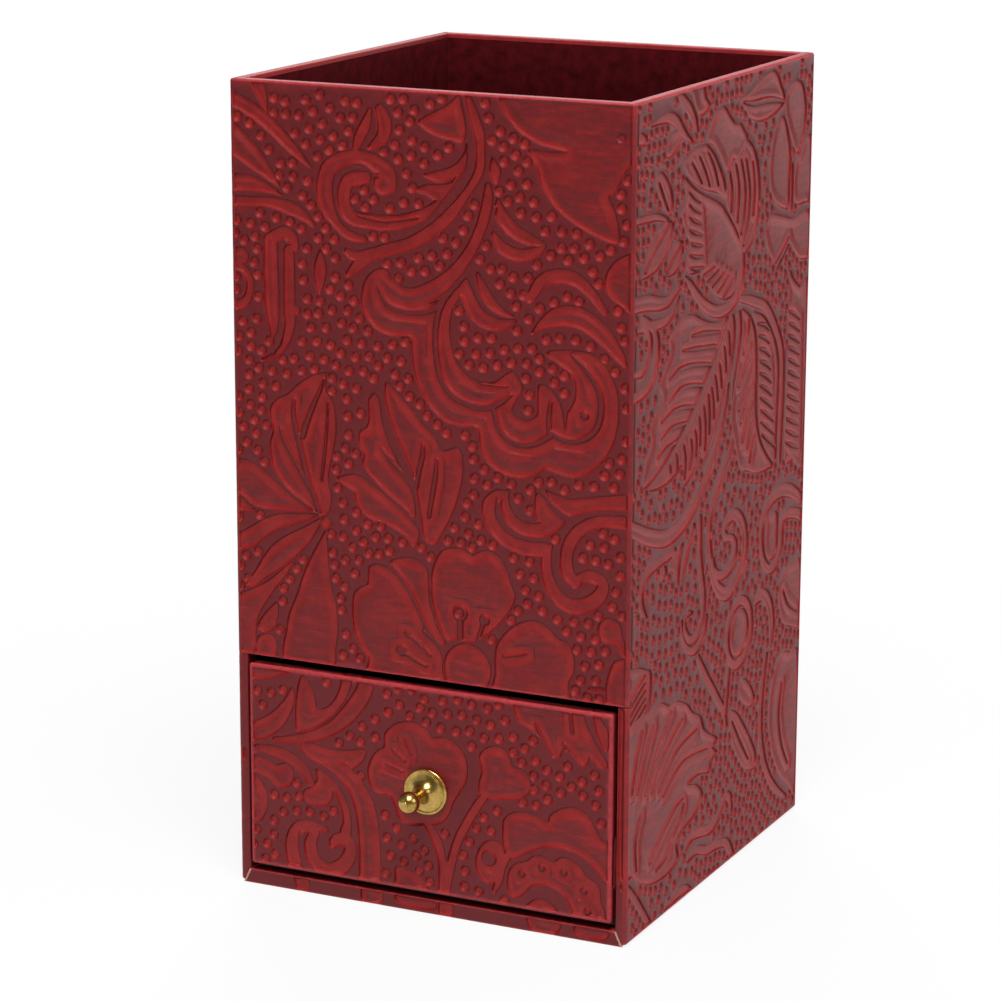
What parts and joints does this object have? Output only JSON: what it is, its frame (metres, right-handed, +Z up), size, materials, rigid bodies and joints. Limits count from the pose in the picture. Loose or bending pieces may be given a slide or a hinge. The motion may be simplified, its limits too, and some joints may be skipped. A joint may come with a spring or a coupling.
{
  "type": "pen stand with drawer",
  "caption": "Tall open pen box over a small sliding drawer: rigid board walls in embossed red leather-look sheet, suede-like lining, turned brass knob.",
  "frame": {"origin": "centre of the flat underside of the base sheet", "axes": "+Z up; the drawer opens towards -Y; +X is to the right seen from the front"},
  "size_m": [0.094, 0.1136, 0.18],
  "materials": {
    "cover": "embossed two-tone leather-look sheet, satin",
    "greyboard": "grey bookbinding board, matte",
    "lining": "suede-like flocked paper, matte",
    "bay_paper": "black paper, matte",
    "brass": "antique brass, polished on the edges"
  },
  "bodies": {
    "carcass": {"base_board": "greyboard", "left_board": "greyboard", "right_board": "greyboard", "back_board": "greyboard", "front_board": "greyboard", "divider_board": "greyboard", "front_wrap": "cover", "side_wrap": "cover", "base_sheet": "cover", "well_lining": "lining", "well_floor_lining": "lining", "bay_lining": "bay_paper"},
    "drawer": {"drawer_front_board": "greyboard", "drawer_front_wrap": "cover", "tray_left_board": "greyboard", "tray_right_board": "greyboard", "tray_front_board": "greyboard", "tray_back_board": "greyboard", "tray_base_board": "greyboard", "tray_wrap": "bay_paper", "tray_lining": "lining", "knob": "brass", "knob_washer": "brass", "knob_nut": "brass"}
  },
  "joints": [
    {"name": "drawer_slide", "type": "slide", "parent": "carcass", "child": "drawer", "axis": [0, -1, 0], "range_m": [0, 0.066]}
  ]
}
